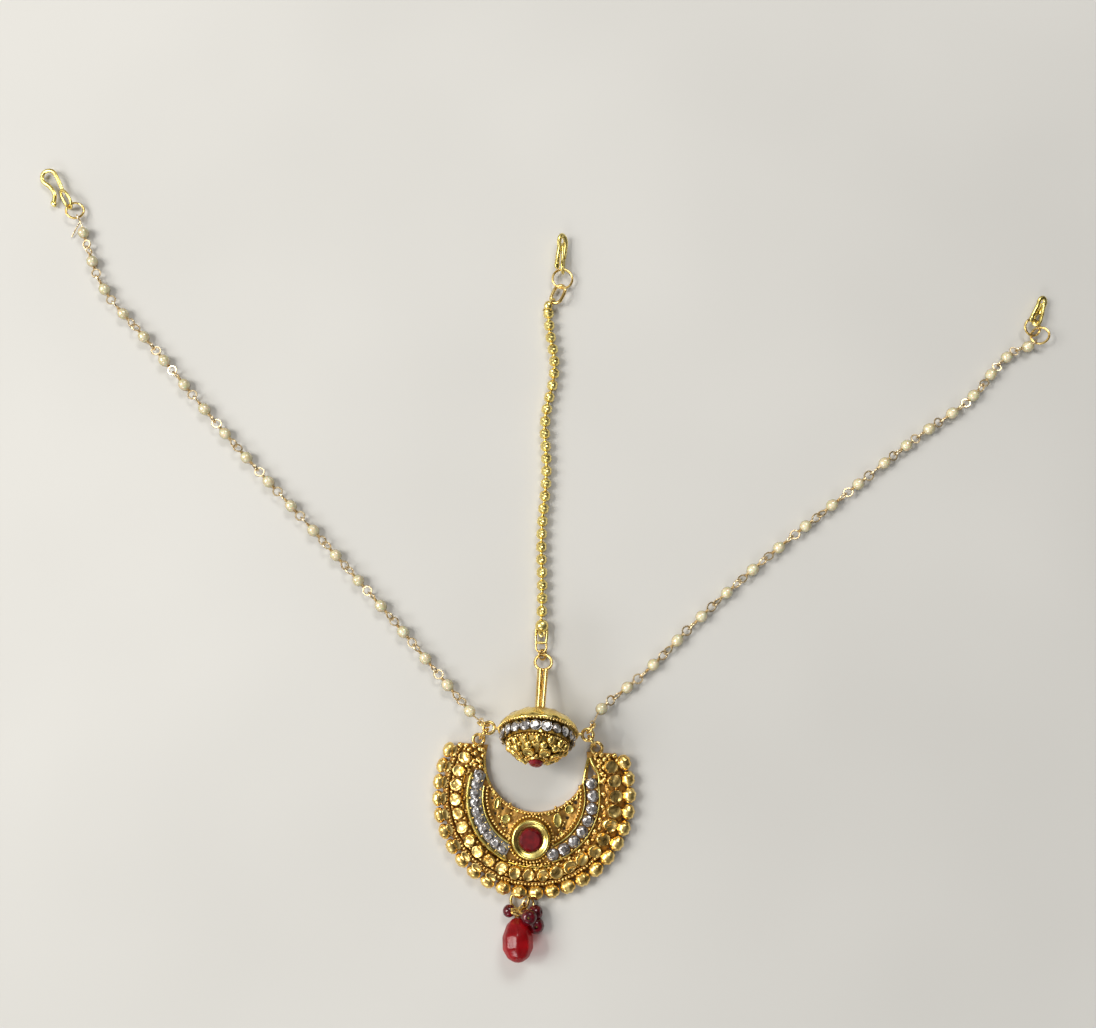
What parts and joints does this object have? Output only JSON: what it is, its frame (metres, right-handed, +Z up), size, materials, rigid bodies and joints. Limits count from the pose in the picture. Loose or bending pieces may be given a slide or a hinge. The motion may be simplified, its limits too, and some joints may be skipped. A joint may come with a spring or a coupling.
{
  "type": "maang tikka",
  "caption": "Maang tikka: crescent pendant with clear stones and a ruby under a domed boss, a middle ball chain and two pearl side strings ending in hooks, and a red glass drop.",
  "frame": {"origin": "on the surface that it lies on, under the centre ruby of the crescent", "axes": "+X to the right across the strings' spread, +Y up the pendant towards the ball chain's hook, +Z up out of the surface"},
  "size_m": [0.307, 0.2196, 0.021],
  "materials": {
    "antique_gold": "polished gold plate with dark recesses",
    "gold_wire": "bright drawn wire",
    "gold_balls": "bright diamond-cut balls",
    "pearl": "pearl lustre",
    "clear_stone": "faceted, foiled behind",
    "ruby_stone": "faceted deep red",
    "red_glass": "faceted translucent red",
    "garnet_glass": "dark maroon, polished"
  },
  "bodies": {
    "root": {"crescent": "antique_gold", "boss": "antique_gold", "stones_left": "clear_stone", "stones_right": "clear_stone", "centre_ruby": "ruby_stone", "boss_stones": "clear_stone", "boss_ruby": "ruby_stone", "horn_link_left": "gold_wire", "horn_link_right": "gold_wire", "jump_ring_left": "gold_wire", "jump_ring_right": "gold_wire", "pearl_string_left": "pearl", "pearl_string_right": "pearl", "ball_chain": "gold_balls", "upper_chain_link": "gold_wire", "lower_chain_link": "gold_wire", "stem_link": "gold_wire", "hook_ring_left": "gold_wire", "hook_ring_centre": "gold_wire", "hook_ring_right": "gold_wire", "lower_ring_right": "gold_wire", "hook_left": "gold_wire", "hook_centre": "gold_wire", "hook_right": "gold_wire", "drop_wrap": "gold_wire", "drop_bead": "red_glass", "garnet_left": "garnet_glass", "garnet_upper": "garnet_glass", "garnet_lower": "garnet_glass"}
  },
  "joints": []
}
